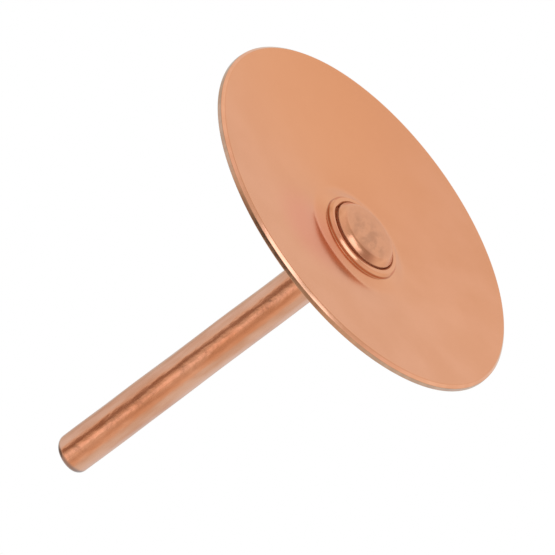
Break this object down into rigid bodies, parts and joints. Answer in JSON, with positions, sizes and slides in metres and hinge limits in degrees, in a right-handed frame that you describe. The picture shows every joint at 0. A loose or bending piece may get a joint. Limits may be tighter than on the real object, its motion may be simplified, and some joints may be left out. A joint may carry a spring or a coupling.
{
  "type": "disc rivet",
  "caption": "Thin, slightly dished round copper disc held under the flat head of a plain round pin that has a rounded tip, for holding down the tail of a roof slate.",
  "frame": {"origin": "centre of the head's flat face, on the pin's axis", "axes": "+Z along the pin from its head to its tip, with the rivet standing on its head; +X from the pin's axis towards the middle of the disc, which is punched off centre"},
  "size_m": [0.02, 0.02, 0.0211],
  "materials": {
    "disc_copper": "bright rolled copper sheet",
    "pin_copper": "bright drawn copper wire"
  },
  "bodies": {
    "root": {"disc": "disc_copper", "pin": "pin_copper"}
  },
  "joints": []
}
